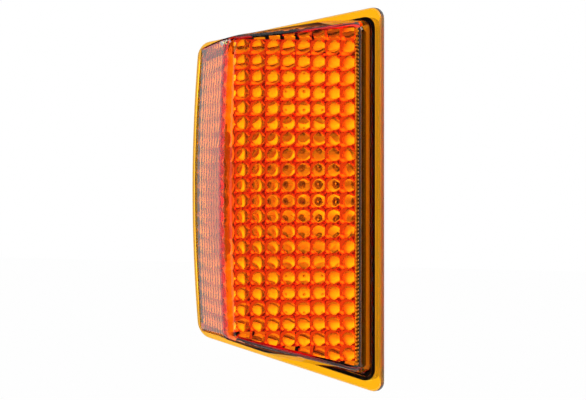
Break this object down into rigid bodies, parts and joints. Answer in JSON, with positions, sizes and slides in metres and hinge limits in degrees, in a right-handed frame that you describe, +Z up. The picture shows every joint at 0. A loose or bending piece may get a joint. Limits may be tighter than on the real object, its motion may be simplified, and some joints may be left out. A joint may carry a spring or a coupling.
{
  "type": "vehicle corner indicator lamp",
  "caption": "Wrap-around corner indicator lamp: clear amber pillow-optic lens with a flange over a grey housing, reflector, bulb and quarter-turn bulb holder.",
  "frame": {"origin": "centre of the panel cut-out on the flange's back face, on the bulb's axis", "axes": "+X to the right along the flange, +Y back into the vehicle, +Z up"},
  "size_m": [0.1076, 0.1091, 0.1765],
  "materials": {
    "amber_lens": "clear, polished",
    "grey_housing": "fine grain",
    "metallised": "metallised mirror",
    "seal_rubber": "matt",
    "zinc_steel": "zinc plated",
    "clear_glass": "clear",
    "nickel_wire": "drawn",
    "tungsten": "drawn",
    "brass": "plain",
    "black_glass": "glossy",
    "solder": "satin",
    "holder_plastic": "fine grain",
    "laminate": "plain"
  },
  "bodies": {
    "lamp": {"lens": "amber_lens", "lens_seal": "seal_rubber", "housing": "grey_housing", "reflector": "metallised", "reflector_screws": "zinc_steel", "mounting_studs": "zinc_steel", "breather_cap": "seal_rubber"},
    "holder": {"bulb_holder": "holder_plastic", "holder_seal": "seal_rubber", "socket_sleeve": "zinc_steel", "insulator_disc": "laminate", "contact_button": "brass", "contact_spring": "zinc_steel", "live_terminal": "brass", "earth_terminal": "brass", "bulb_glass": "clear_glass", "bulb_stem": "clear_glass", "filament_supports": "nickel_wire", "filament": "tungsten", "bulb_cap": "brass", "bayonet_pins": "brass", "cap_insulator": "black_glass", "base_contact": "solder"}
  },
  "joints": [
    {"name": "holder_twist", "type": "hinge", "parent": "lamp", "child": "holder", "pos_m": [0, 0.026, 0], "axis": [0, 1, 0], "range_deg": [0, 40]}
  ]
}
